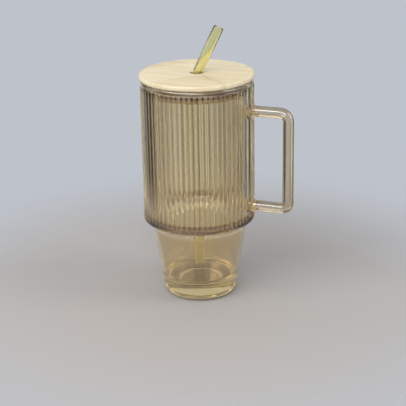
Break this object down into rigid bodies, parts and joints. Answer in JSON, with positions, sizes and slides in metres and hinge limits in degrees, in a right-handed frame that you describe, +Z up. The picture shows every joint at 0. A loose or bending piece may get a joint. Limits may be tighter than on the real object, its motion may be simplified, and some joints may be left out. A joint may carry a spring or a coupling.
{
  "type": "glass mug",
  "caption": "Tall amber reeded glass mug with a tapered smooth foot, a welded glass rod handle, a bamboo plug lid and a bent glass straw.",
  "frame": {"origin": "middle of the footprint's bounding box, on the plane the mug stands on; the mug's axis is at x = -17 mm, y = 0", "axes": "+Z up along the mug's axis, +X from the axis towards the handle"},
  "size_m": [0.1248, 0.0908, 0.2208],
  "materials": {
    "amber_glass": "clear amber glass, glossy, with a faint lustre",
    "bamboo": "sanded pale bamboo, laminated strips, satin",
    "silicone": "translucent matt silicone",
    "yellow_glass": "clear yellow glass, glossy"
  },
  "bodies": {
    "mug": {"glass_body": "amber_glass", "handle": "amber_glass"},
    "seal": {"seal_ring": "silicone"},
    "lid": {"lid": "bamboo"},
    "straw": {"straw": "yellow_glass"}
  },
  "joints": [
    {"name": "lid_lift", "type": "slide", "parent": "mug", "child": "seal", "axis": [0, 0, 1], "range_m": [0, 0.18]},
    {"name": "lid_turn", "type": "hinge", "parent": "seal", "child": "lid", "pos_m": [-0.017, 0, 0.1797], "axis": [0, 0, 1], "continuous": true},
    {"name": "straw_slide", "type": "slide", "parent": "lid", "child": "straw", "axis": [0.0321, -0.0658, 0.9973], "range_m": [0, 0.175]}
  ]
}
